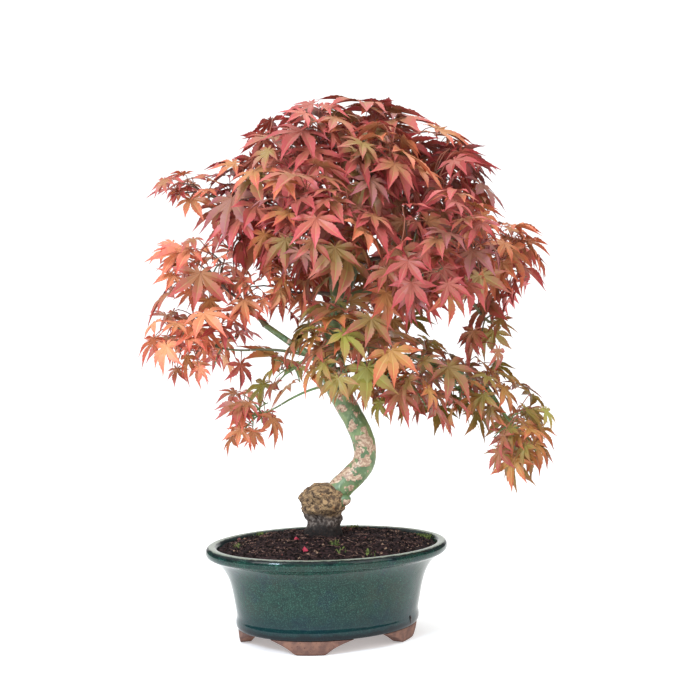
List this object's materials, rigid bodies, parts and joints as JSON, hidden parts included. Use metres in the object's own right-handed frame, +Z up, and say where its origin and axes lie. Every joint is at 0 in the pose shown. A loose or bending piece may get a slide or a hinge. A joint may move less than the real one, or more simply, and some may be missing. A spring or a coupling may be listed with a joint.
{
  "type": "potted japanese maple bonsai",
  "caption": "Autumn-leaved Japanese maple bonsai with a curved green trunk on a corky graft, in an oval glazed pot on clay feet.",
  "frame": {"origin": "on the ground, under the centre of the whole plant's bounding box", "axes": "+Z up; the front of the tree faces -Y; the pot's long side is turned 33 degrees from X"},
  "size_m": [0.3576, 0.2548, 0.4616],
  "materials": {
    "glaze": "glossy speckled green glaze with a near-black rim",
    "clay": "unglazed brown stoneware",
    "soil": "crumbly dark compost",
    "cork": "rough corky bark",
    "bark": "smooth green bark, slightly waxy",
    "leaf_red": "thin matt leaves, dusty red",
    "leaf_orange": "thin matt leaves, salmon orange",
    "leaf_olive": "thin matt leaves, olive and brown-red"
  },
  "bodies": {
    "root": {"bough_left": "bark", "bough_low_right": "bark", "bough_right": "bark", "branch_arm_left": "bark", "branch_back_left": "bark", "branch_back_low": "bark", "branch_back_right": "bark", "branch_centre_low": "bark", "branch_front_left": "bark", "branch_front_right": "bark", "branch_left_hang": "bark", "branch_left_inner": "bark", "branch_left_low": "bark", "branch_left_middle": "bark", "branch_left_under": "bark", "branch_low_right_inner": "bark", "branch_low_right_middle": "bark", "branch_low_right_out": "bark", "branch_right_out": "bark", "branch_right_under": "bark", "branch_shoulder_left": "bark", "branch_top_front": "bark", "branch_top_left": "bark", "branch_top_middle": "bark", "branch_top_right": "bark", "foliage_arm_left": "leaf_orange", "foliage_back_left": "leaf_red", "foliage_back_low": "leaf_olive", "foliage_back_right": "leaf_red", "foliage_centre_low": "leaf_olive", "foliage_front_left": "leaf_red", "foliage_front_right": "leaf_red", "foliage_left_hang": "leaf_orange", "foliage_left_inner": "leaf_orange", "foliage_left_low": "leaf_orange", "foliage_left_middle": "leaf_orange", "foliage_left_under": "leaf_olive", "foliage_low_right_inner": "leaf_olive", "foliage_low_right_middle": "leaf_olive", "foliage_low_right_out": "leaf_olive", "foliage_right_out": "leaf_red", "foliage_right_under": "leaf_olive", "foliage_shoulder_left": "leaf_red", "foliage_top_front": "leaf_red", "foliage_top_left": "leaf_red", "foliage_top_middle": "leaf_red", "foliage_top_right": "leaf_red", "foot_1": "clay", "foot_2": "clay", "foot_3": "clay", "foot_4": "clay", "leader_left": "bark", "leader_right": "bark", "pot": "glaze", "rootstock": "cork", "soil": "soil", "trunk": "bark"}
  },
  "joints": []
}
